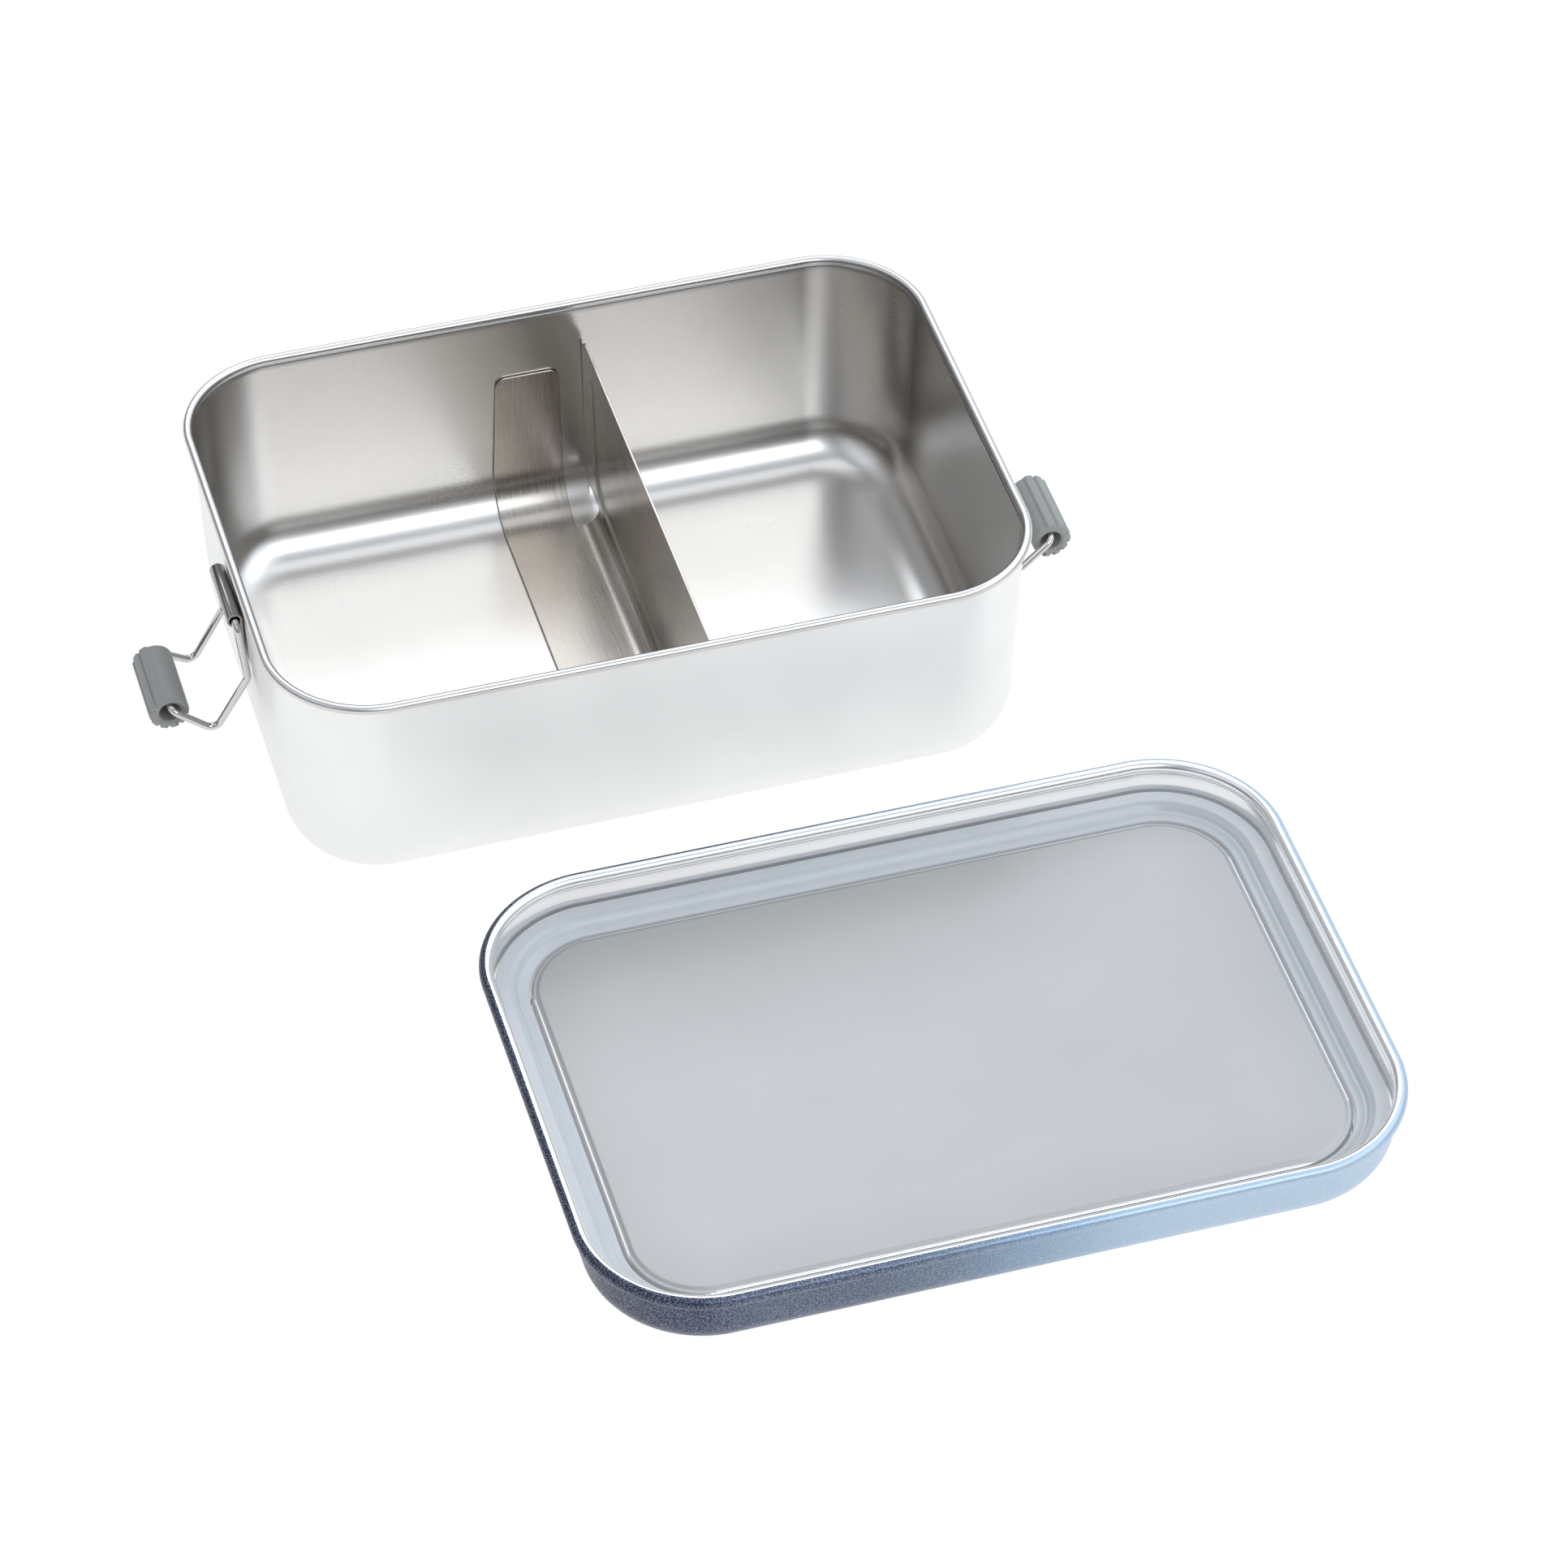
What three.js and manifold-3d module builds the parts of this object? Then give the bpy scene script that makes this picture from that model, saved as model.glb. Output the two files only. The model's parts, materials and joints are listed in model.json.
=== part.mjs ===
// Stainless steel lunch box with a bent-sheet divider, two wire bail latches with silicone grips,
// and a painted lid with a silicone seal, which lies upside down beside the box.
// Millimetres, +Z up, origin at the centre of the box's base, X along the box, -Y towards the lid.
import * as THREE from "three";
import { mergeVertices } from "three/addons/utils/BufferGeometryUtils.js";
import Module from "manifold-3d";

const wasm = await Module();
wasm.setup();

// Driving dimensions of the box
const RIM_LENGTH = 180;
const RIM_WIDTH = 126.8;
const RIM_CORNER = 25.3;
const BOX_HEIGHT = 58.9;
const SHEET = 0.6;
const RIM_BEAD = 1.1;
const BEAD_OVERHANG = 1.7;
const WALL_LEAN = 1.9;
const BASE_EDGE = 12.6;

// Driving dimensions of the lid, measured as it lies, top face down
const LID_OVER_RIM = 3.5;
const LID_HEIGHT = 17.6;
const LID_BEAD = 1.6;
const LID_OVERHANG = 2.2;
const LID_EDGE = 7.5;
const CHANNEL = 11.5;
const PANEL_HEIGHT = 8;
const PANEL_EDGE = 1.2;
const LID_GAP = 20;
const LID_SHIFT = 34.8;

// Seal ring in the lid's channel
const SEAL_CLEARANCE = 0.6;
const SEAL_LIP_HEIGHT = 9.6;
const SEAL_INNER_HEIGHT = 7.4;
const SEAL_LIP_WIDTH = 3.4;
const SEAL_INNER_FLAT = 1.7;
const SEAL_INNER_FALL = 0.3;
const SEAL_UNDERSIDE_ARC = 75;

// Divider
const DIVIDER_X = 10.5;
const DIVIDER_BELOW_RIM = 10.1;
const DIVIDER_CLEARANCE = 0.8;
const DIVIDER_CORNER = 3.5;
const FLANGE_REACH = 23.6;
const FLANGE_GAP = 0.3;
const SLOT_WIDTH = 5.7;
const TAB_BELOW_DIVIDER = 8.2;
const TAB_CORNER = 2.5;
const TAB_TAPER = 1.6;
const BEND_RADIUS = 5;
const FIELD_BORDER = 6;
const FIELD_RISE = 0.5;
const DIVIDER_TOP = BOX_HEIGHT - DIVIDER_BELOW_RIM;
const TAB_TOP = DIVIDER_TOP - TAB_BELOW_DIVIDER;

// Latches: bracket with a rolled barrel, wire bail and grip
const LATCH_GAP = 0.2;
const PIVOT_BELOW_RIM = 15.4;
const BARREL_LENGTH = 18.4;
const BARREL_WALL = 0.82;
const BARREL_SLOT = 30;
const BRACKET_DROP = 14;
const WIRE = 0.9;
const PIVOT_CLEARANCE = 0.08;
const SHAFT_PLAY = 1.2;
const WIRE_BEND = 2.4;
const WIRE_JOINT = 0.4;
const GRIP_LENGTH = 19.3;
const GRIP_RADIUS = 4.95;
const GRIP_BORE = 2.6;
const GRIP_PLAY = 0.95;
const GRIP_REST = 0.1;
const GRIP_GROOVE = 0.35;
const GRIP_RIBS = 7;
const RIB_PITCH = 32;
const RIB_FLANK = 6;

// Where the latch pivots, and the corners of the bail's wire from there: outwards, downwards and
// to each side.
const PIVOT_HEIGHT = BOX_HEIGHT - PIVOT_BELOW_RIM;
const BARREL_OUTER = WIRE + PIVOT_CLEARANCE + BARREL_WALL;
const SHAFT_HALF = BARREL_LENGTH / 2 + WIRE + SHAFT_PLAY;
const SHOULDER = { out: -1.4, down: 14.9, half: SHAFT_HALF + 1.3 };
const ELBOW = { out: 7.0, down: 29.4, half: SHAFT_HALF + 0.9 };
const GRIP_BAR = { out: 16.6, down: 22.4, half: GRIP_LENGTH / 2 + GRIP_PLAY };
const GRIP_HANG = GRIP_BORE - WIRE - GRIP_REST;

const STEEL = { color: 0xcfd0ce, roughness: 0.32, metalness: 1 };
const DARK_STEEL = { color: 0xb4aea6, roughness: 0.28, metalness: 1 };
const BRIGHT_STEEL = { color: 0xdcdad6, roughness: 0.15, metalness: 1 };
const LID_PAINT = { color: 0x9db6d2, roughness: 0.35, metalness: 0.6 };
const SEAL_SILICONE = { color: 0xc4d6de, roughness: 0.45, metalness: 0 };
const GRIP_SILICONE = { color: 0x8a8f8e, roughness: 0.7, metalness: 0 };

const ARC_STEPS = 4;
const WIRE_STEPS = 90;
const WELD = 1e-4;
const degrees = THREE.MathUtils.degToRad;

// A closed mesh as a solid for joining and cutting.
function solid(geometry) {
  const bare = geometry.clone();
  bare.deleteAttribute("normal");
  bare.deleteAttribute("uv");
  const merged = mergeVertices(bare, WELD);
  return new wasm.Manifold(
    new wasm.Mesh({
      numProp: 3,
      vertProperties: merged.attributes.position.array,
      triVerts: new Uint32Array(merged.index.array),
    }),
  );
}

// A named mesh of a solid, with its material.
function piece(name, shape, finish) {
  const made = shape.getMesh();
  const geometry = new THREE.BufferGeometry();
  geometry.setAttribute("position", new THREE.BufferAttribute(made.vertProperties, 3));
  geometry.setIndex(new THREE.BufferAttribute(made.triVerts, 1));
  geometry.computeVertexNormals();
  const mesh = new THREE.Mesh(geometry, new THREE.MeshStandardMaterial(finish));
  mesh.name = name;
  return mesh;
}

// The outline of a rectangle with round corners, centred on the origin.
function roundedRectangle(length, width, corner) {
  const x = length / 2 - corner;
  const y = width / 2 - corner;
  const outline = new THREE.Shape();
  outline.absarc(x, y, corner, 0, Math.PI / 2);
  outline.absarc(-x, y, corner, Math.PI / 2, Math.PI);
  outline.absarc(-x, -y, corner, Math.PI, (3 * Math.PI) / 2);
  outline.absarc(x, -y, corner, (3 * Math.PI) / 2, 2 * Math.PI);
  return outline;
}

// A block from z = 0 upwards whose lower edge is rounded and whose sides lean in towards the base.
function drawnBlock({ length, width, corner, height, edge, lean = 0 }) {
  const geometry = new THREE.ExtrudeGeometry(roundedRectangle(length, width, corner), {
    depth: height,
    steps: 1,
    curveSegments: ARC_STEPS,
    bevelThickness: edge,
    bevelSize: edge,
    bevelOffset: -edge,
    bevelSegments: ARC_STEPS,
  });
  geometry.translate(0, 0, edge);
  const place = geometry.attributes.position;
  for (let i = 0; i < place.count; i++) {
    const inward = lean * Math.max(0, 1 - place.getZ(i) / height);
    place.setX(i, place.getX(i) - Math.sign(place.getX(i)) * inward);
    place.setY(i, place.getY(i) - Math.sign(place.getY(i)) * inward);
  }
  return solid(geometry).intersect(slab(length, width, 0, height));
}

// A rectangular slab between two heights, a little larger than length by width.
function slab(length, width, bottom, top) {
  const margin = 10;
  const box = new THREE.BoxGeometry(length + margin, width + margin, top - bottom);
  return solid(box.translate(0, 0, (top + bottom) / 2));
}

// A closed section turned round each corner and carried along the straight sides of a rounded
// rectangle. Section points are [inset from the outline, height].
function ringOf(section, { length, width, corner }) {
  const turns = 8 * ARC_STEPS;
  const halfTurn = Math.PI / turns;
  const points = section.map(([inset, z]) => new THREE.Vector2(corner - inset, z));
  const radial = points.map((p) => new THREE.Vector2(p.x / Math.cos(halfTurn), p.y));
  const geometry = new THREE.LatheGeometry([...radial, radial[0]], turns, halfTurn);
  geometry.rotateX(Math.PI / 2);
  const place = geometry.attributes.position;
  for (let i = 0; i < place.count; i++) {
    place.setX(i, place.getX(i) + Math.sign(place.getX(i)) * (length / 2 - corner));
    place.setY(i, place.getY(i) + Math.sign(place.getY(i)) * (width / 2 - corner));
  }
  return solid(geometry);
}

// The section of a rolled edge: a circle whose outer side touches the outline.
function beadSection(radius, height) {
  const sides = 10;
  return Array.from({ length: sides }, (_, i) => {
    const turn = (i / sides) * 2 * Math.PI;
    return [radius - radius * Math.cos(turn), height + radius * Math.sin(turn)];
  });
}

// An outline in the Y-Z plane given thickness along X from x = start.
function alongX(outline, start, thickness) {
  const geometry = new THREE.ExtrudeGeometry(outline, {
    depth: thickness,
    bevelEnabled: false,
    curveSegments: ARC_STEPS,
  });
  const [x, y, z] = [0, 1, 2].map((axis) => new THREE.Vector3().setComponent(axis, 1));
  geometry.applyMatrix4(new THREE.Matrix4().makeBasis(y, z, x));
  return solid(geometry.translate(start, 0, 0));
}

// An outline in the X-Z plane given length along Y, centred on y = 0.
function alongY(outline, length) {
  const geometry = new THREE.ExtrudeGeometry(outline, {
    depth: length,
    bevelEnabled: false,
    curveSegments: 2 * ARC_STEPS,
  });
  geometry.rotateX(Math.PI / 2);
  return solid(geometry.translate(0, length / 2, 0));
}

// Half the outer length of the box's wall at a height.
function wallX(z) {
  return RIM_LENGTH / 2 - BEAD_OVERHANG - WALL_LEAN * (1 - z / BOX_HEIGHT);
}

// Half the inner width of the box's wall at a height.
function innerY(z) {
  return RIM_WIDTH / 2 - BEAD_OVERHANG - SHEET - WALL_LEAN * (1 - z / BOX_HEIGHT);
}

// The deep-drawn box with its rolled rim.
function boxBody() {
  const wallTop = BOX_HEIGHT - RIM_BEAD;
  const skin = (inset, edge) => ({
    length: RIM_LENGTH - 2 * inset,
    width: RIM_WIDTH - 2 * inset,
    corner: RIM_CORNER - inset,
    height: BOX_HEIGHT,
    edge,
    lean: WALL_LEAN,
  });
  const outer = drawnBlock(skin(BEAD_OVERHANG, BASE_EDGE));
  const hollow = drawnBlock(skin(BEAD_OVERHANG + SHEET, BASE_EDGE - SHEET));
  const shell = outer
    .subtract(hollow.translate([0, 0, SHEET]))
    .intersect(slab(RIM_LENGTH, RIM_WIDTH, 0, wallTop));
  const rim = { length: RIM_LENGTH, width: RIM_WIDTH, corner: RIM_CORNER };
  return piece("box_body", shell.add(ringOf(beadSection(RIM_BEAD, wallTop), rim)), STEEL);
}

// The upright sheet of the divider, following the box's inside with a clearance.
function dividerSheet(inset = 0) {
  const bottom = SHEET + DIVIDER_CLEARANCE + inset;
  const top = DIVIDER_TOP - inset;
  const round = BASE_EDGE - SHEET;
  const low = innerY(0) - DIVIDER_CLEARANCE - inset;
  const high = innerY(top) - DIVIDER_CLEARANCE - inset;
  const corner = DIVIDER_CORNER;
  const outline = new THREE.Shape();
  outline.absarc(low - round, bottom + round, round, -Math.PI / 2, 0);
  outline.absarc(high - corner, top - corner, corner, 0, Math.PI / 2);
  outline.absarc(corner - high, top - corner, corner, Math.PI / 2, Math.PI);
  outline.absarc(round - low, bottom + round, round, Math.PI, (3 * Math.PI) / 2);
  return outline;
}

// The flange on the floor with a tab turned up each long wall: a bent strip, narrower up the tabs.
function dividerTrough(left, right) {
  const bottom = SHEET + FLANGE_GAP;
  const round = BASE_EDGE - SHEET;
  const side = innerY(0) - FLANGE_GAP;
  const strip = new THREE.Shape();
  strip.moveTo(side, TAB_TOP);
  strip.lineTo(side - SHEET, TAB_TOP);
  strip.absarc(side - round, bottom + round, round - SHEET, 0, -Math.PI / 2, true);
  strip.absarc(round - side, bottom + round, round - SHEET, -Math.PI / 2, -Math.PI, true);
  strip.lineTo(SHEET - side, TAB_TOP);
  strip.lineTo(-side, TAB_TOP);
  strip.absarc(round - side, bottom + round, round, Math.PI, (3 * Math.PI) / 2);
  strip.absarc(side - round, bottom + round, round, -Math.PI / 2, 0);
  const tab = new THREE.Shape();
  const corner = TAB_CORNER;
  tab.moveTo(left, 0);
  tab.lineTo(right, 0);
  tab.absarc(right - corner, TAB_TOP - corner, corner, 0, Math.PI / 2);
  tab.absarc(left + TAB_TAPER + corner, TAB_TOP - corner, corner, Math.PI / 2, Math.PI);
  tab.lineTo(left, round);
  return alongX(strip, left, right - left).intersect(alongY(tab, RIM_WIDTH));
}

// The bend between the flange and the upright sheet.
function dividerBend(start) {
  const bottom = SHEET + FLANGE_GAP;
  const flatHalf = innerY(0) - FLANGE_GAP - (BASE_EDGE - SHEET);
  const centre = DIVIDER_X + SHEET - BEND_RADIUS;
  const section = new THREE.Shape();
  section.moveTo(start, bottom);
  section.absarc(centre, bottom + BEND_RADIUS, BEND_RADIUS, -Math.PI / 2, 0);
  section.absarc(centre, bottom + BEND_RADIUS, BEND_RADIUS - SHEET, 0, -Math.PI / 2, true);
  section.lineTo(start, bottom + SHEET);
  return alongY(section, 2 * flatHalf);
}

// The divider: one bent sheet with a pressed field in its upright part, and a slot at each end
// between the tab and the upright part.
function divider() {
  const left = DIVIDER_X + SHEET - FLANGE_REACH;
  const right = DIVIDER_X - SLOT_WIDTH;
  const bendTop = SHEET + FLANGE_GAP + BEND_RADIUS;
  const upright = alongX(dividerSheet(), DIVIDER_X, SHEET);
  const field = alongX(dividerSheet(FIELD_BORDER), DIVIDER_X + FIELD_RISE, SHEET);
  const recess = alongX(dividerSheet(FIELD_BORDER), DIVIDER_X - SHEET, SHEET + FIELD_RISE);
  const shape = upright
    .add(field)
    .subtract(recess)
    .subtract(slab(RIM_LENGTH, RIM_WIDTH, 0, bendTop))
    .add(dividerBend(right - SHEET))
    .add(dividerTrough(left, right));
  return piece("divider", shape, DARK_STEEL);
}

// The lid's rim outline.
const LID_RIM = {
  length: RIM_LENGTH + 2 * LID_OVER_RIM,
  width: RIM_WIDTH + 2 * LID_OVER_RIM,
  corner: RIM_CORNER + LID_OVER_RIM,
};

// A block inside the lid's rim outline.
function lidBlock(inset, height, edge) {
  return drawnBlock({
    length: LID_RIM.length - 2 * inset,
    width: LID_RIM.width - 2 * inset,
    corner: LID_RIM.corner - inset,
    height,
    edge,
  });
}

// The pressed lid: rolled rim, skirt, channel for the seal and stepped centre panel.
function lidShell() {
  const wallTop = LID_HEIGHT - LID_BEAD;
  const outer = lidBlock(LID_OVERHANG, wallTop, LID_EDGE);
  const hollow = lidBlock(LID_OVERHANG + SHEET, wallTop, LID_EDGE - SHEET);
  const plateau = lidBlock(CHANNEL, PANEL_HEIGHT, PANEL_EDGE)
    .rotate([180, 0, 0])
    .translate([0, 0, PANEL_HEIGHT]);
  const dish = lidBlock(CHANNEL + SHEET, PANEL_HEIGHT, PANEL_EDGE / 2)
    .rotate([180, 0, 0])
    .translate([0, 0, PANEL_HEIGHT - SHEET]);
  const shape = outer
    .subtract(hollow.translate([0, 0, SHEET]))
    .add(plateau)
    .subtract(dish)
    .add(ringOf(beadSection(LID_BEAD, wallTop), LID_RIM));
  return piece("lid_shell", shape, LID_PAINT);
}

// The silicone seal: a flat lip that the box's rim lands on, sloping down to the centre panel.
function lidSeal() {
  const outer = LID_OVERHANG + SHEET + SEAL_CLEARANCE;
  const inner = CHANNEL - SEAL_CLEARANCE;
  const bottom = SHEET + SEAL_CLEARANCE;
  const round = LID_EDGE - SHEET - SEAL_CLEARANCE;
  const underside = Array.from({ length: ARC_STEPS + 1 }, (_, i) => {
    const turn = degrees(SEAL_UNDERSIDE_ARC) * (i / ARC_STEPS);
    return [outer + round * (1 - Math.cos(turn)), bottom + round * (1 - Math.sin(turn))];
  });
  const section = [
    ...underside,
    [inner, underside.at(-1)[1]],
    [inner, SEAL_INNER_HEIGHT],
    [inner - SEAL_INNER_FLAT, SEAL_INNER_HEIGHT + SEAL_INNER_FALL],
    [outer + SEAL_LIP_WIDTH, SEAL_LIP_HEIGHT],
    [outer, SEAL_LIP_HEIGHT],
  ];
  return piece("lid_seal", ringOf(section.reverse(), LID_RIM), SEAL_SILICONE);
}

// Where the latch on the right pivots, half a box length out.
const PIVOT_X = wallX(PIVOT_HEIGHT) + LATCH_GAP + BARREL_OUTER;

// The bracket: a plate on the wall whose upper end is rolled into the pivot barrel.
function bracket(side) {
  const bore = WIRE + PIVOT_CLEARANCE;
  const foot = PIVOT_HEIGHT - BRACKET_DROP;
  const slot = degrees(BARREL_SLOT);
  const seam = degrees(180) + slot / 2;
  const barrel = new THREE.Shape();
  barrel.absarc(PIVOT_X, PIVOT_HEIGHT, BARREL_OUTER, seam + slot, seam + 2 * Math.PI);
  barrel.absarc(PIVOT_X, PIVOT_HEIGHT, bore, seam + 2 * Math.PI, seam + slot, true);
  const plate = new THREE.Shape();
  const face = (z) => wallX(z) + LATCH_GAP;
  plate.moveTo(face(foot), foot);
  plate.lineTo(face(foot) + SHEET, foot);
  plate.lineTo(face(PIVOT_HEIGHT) + SHEET, PIVOT_HEIGHT);
  plate.lineTo(face(PIVOT_HEIGHT), PIVOT_HEIGHT);
  const shape = alongY(barrel, BARREL_LENGTH).add(alongY(plate, BARREL_LENGTH));
  return piece(`${side}_bracket`, shape, DARK_STEEL);
}

// A path of straight lines whose corners are rounded.
function bentWire(corners, radius) {
  const path = new THREE.CurvePath();
  let start = corners[0];
  for (let i = 1; i < corners.length - 1; i++) {
    const back = corners[i - 1].clone().sub(corners[i]).normalize();
    const ahead = corners[i + 1].clone().sub(corners[i]).normalize();
    const reach = radius / Math.tan(back.angleTo(ahead) / 2);
    const into = corners[i].clone().addScaledVector(back, reach);
    const out = corners[i].clone().addScaledVector(ahead, reach);
    path.add(new THREE.LineCurve3(start, into));
    path.add(new THREE.QuadraticBezierCurve3(into, corners[i], out));
    start = out;
  }
  path.add(new THREE.LineCurve3(start, corners.at(-1)));
  return path;
}

// The wire bail: one bent wire whose ends meet inside the barrel.
function bail(side) {
  const at = ({ out, down }, y) => new THREE.Vector3(PIVOT_X + out, y, PIVOT_HEIGHT - down);
  const pin = { out: 0, down: 0 };
  const corners = [at(pin, WIRE_JOINT / 2), at(pin, SHAFT_HALF)];
  corners.push(at(SHOULDER, SHOULDER.half), at(ELBOW, ELBOW.half), at(GRIP_BAR, GRIP_BAR.half));
  corners.push(at(GRIP_BAR, -GRIP_BAR.half), at(ELBOW, -ELBOW.half), at(SHOULDER, -SHOULDER.half));
  corners.push(at(pin, -SHAFT_HALF), at(pin, -WIRE_JOINT / 2));
  const section = new THREE.Shape().absarc(0, 0, WIRE, 0, 2 * Math.PI);
  const geometry = new THREE.ExtrudeGeometry(section, {
    steps: WIRE_STEPS,
    curveSegments: ARC_STEPS,
    extrudePath: bentWire(corners, WIRE_BEND),
  });
  return piece(`${side}_bail`, solid(geometry), BRIGHT_STEEL);
}

// The silicone grip: a tube with broad ribs on its outer side, hanging loose on the wire.
function grip(side) {
  const low = GRIP_RADIUS - GRIP_GROOVE;
  const ribbed = GRIP_RIBS * RIB_PITCH;
  const points = [];
  const add = (turn, radius) => {
    points.push(new THREE.Vector2(radius * Math.cos(degrees(turn)), radius * Math.sin(degrees(turn))));
  };
  for (let i = 0; i < GRIP_RIBS; i++) {
    const start = i * RIB_PITCH - ribbed / 2;
    add(start, low);
    add(start + RIB_FLANK, GRIP_RADIUS);
    add(start + RIB_PITCH / 2, GRIP_RADIUS);
    add(start + RIB_PITCH - RIB_FLANK, GRIP_RADIUS);
  }
  for (let i = 0; i < 2 * ARC_STEPS; i++) {
    add(ribbed / 2 + ((360 - ribbed) * i) / (2 * ARC_STEPS), low);
  }
  const outline = new THREE.Shape(points);
  outline.holes.push(new THREE.Path().absarc(0, 0, GRIP_BORE, 0, 2 * Math.PI, true));
  const centre = [PIVOT_X + GRIP_BAR.out, 0, PIVOT_HEIGHT - GRIP_BAR.down - GRIP_HANG];
  return piece(`${side}_grip`, alongY(outline, GRIP_LENGTH).translate(centre), GRIP_SILICONE);
}

// A whole latch: the one on the left is the one on the right turned half round.
function latch(side) {
  const group = new THREE.Group();
  group.add(bracket(side), bail(side), grip(side));
  group.rotation.z = side === "left" ? Math.PI : 0;
  return group;
}

const lid = new THREE.Group();
lid.add(lidShell(), lidSeal());
lid.position.set(LID_SHIFT, -(RIM_WIDTH / 2 + LID_GAP + LID_RIM.width / 2), 0);

const group = new THREE.Group();
group.add(boxBody(), divider(), lid, latch("left"), latch("right"));

export default group;
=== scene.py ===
"""A stainless steel lunch box with a bent-sheet divider and two wire latches, and its painted lid.

The lid lies upside down in front of the box with its silicone seal in place. Every piece is made in
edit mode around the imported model, in metres, and gets a material of its own.
"""

import json
import logging
import math
from collections.abc import Callable, Mapping, Sequence
from dataclasses import dataclass, field
from enum import Enum, IntEnum

import bmesh
import bpy
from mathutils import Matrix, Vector

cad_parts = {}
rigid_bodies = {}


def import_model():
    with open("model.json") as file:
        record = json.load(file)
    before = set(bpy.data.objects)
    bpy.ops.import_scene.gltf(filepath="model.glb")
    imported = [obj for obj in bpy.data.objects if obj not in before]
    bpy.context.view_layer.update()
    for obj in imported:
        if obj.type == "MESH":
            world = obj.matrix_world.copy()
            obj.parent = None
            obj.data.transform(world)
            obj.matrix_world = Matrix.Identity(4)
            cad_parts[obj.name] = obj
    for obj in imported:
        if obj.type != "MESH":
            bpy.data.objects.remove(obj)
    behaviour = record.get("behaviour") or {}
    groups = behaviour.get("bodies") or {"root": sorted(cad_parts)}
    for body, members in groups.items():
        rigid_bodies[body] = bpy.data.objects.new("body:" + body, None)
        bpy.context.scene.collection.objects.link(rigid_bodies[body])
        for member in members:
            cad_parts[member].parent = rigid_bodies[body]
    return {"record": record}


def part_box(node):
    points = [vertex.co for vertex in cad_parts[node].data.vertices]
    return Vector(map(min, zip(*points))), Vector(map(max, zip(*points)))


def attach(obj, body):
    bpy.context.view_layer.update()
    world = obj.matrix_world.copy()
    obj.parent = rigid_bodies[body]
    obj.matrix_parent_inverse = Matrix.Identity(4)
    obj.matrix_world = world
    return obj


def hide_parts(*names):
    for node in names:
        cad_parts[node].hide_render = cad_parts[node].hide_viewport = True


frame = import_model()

log = logging.getLogger("lunch_box")

MM = 0.001
NEAR = 0.01 * MM
QUARTER = math.pi / 2

Point = tuple[float, float]
Colour = tuple[float, float, float]

DAYLIGHT: Colour = (0.965, 1.0, 1.045)


# ---------------------------------------------------------------- material nodes


class Value:
    """One output inside a material, with arithmetic that adds Math nodes."""

    def __init__(self, recipe: "Recipe", socket: bpy.types.NodeSocket) -> None:
        """Wraps an output socket.

        Args:
            recipe: The material that the socket is in.
            socket: The output socket.
        """
        self.recipe = recipe
        self.socket = socket

    def _math(self, operation: str, first: object, second: object) -> "Value":
        """Adds a Math node.

        Args:
            operation: The node's operation.
            first: Its first value, a number or a Value.
            second: Its second value, a number or a Value.

        Returns:
            The node's result.
        """
        return self.recipe.node("ShaderNodeMath", {"operation": operation}, {0: first, 1: second})

    def __add__(self, other: object) -> "Value":
        """Adds."""
        return self._math("ADD", self, other)

    def __radd__(self, other: object) -> "Value":
        """Adds to a number."""
        return self._math("ADD", other, self)

    def __sub__(self, other: object) -> "Value":
        """Subtracts."""
        return self._math("SUBTRACT", self, other)

    def __rsub__(self, other: object) -> "Value":
        """Subtracts from a number."""
        return self._math("SUBTRACT", other, self)

    def __mul__(self, other: object) -> "Value":
        """Multiplies."""
        return self._math("MULTIPLY", self, other)

    def __rmul__(self, other: object) -> "Value":
        """Multiplies a number."""
        return self._math("MULTIPLY", other, self)

    def at_most(self, other: object) -> "Value":
        """Takes the smaller of two values."""
        return self._math("MINIMUM", self, other)

    def at_least(self, other: object) -> "Value":
        """Takes the larger of two values."""
        return self._math("MAXIMUM", self, other)


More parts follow.
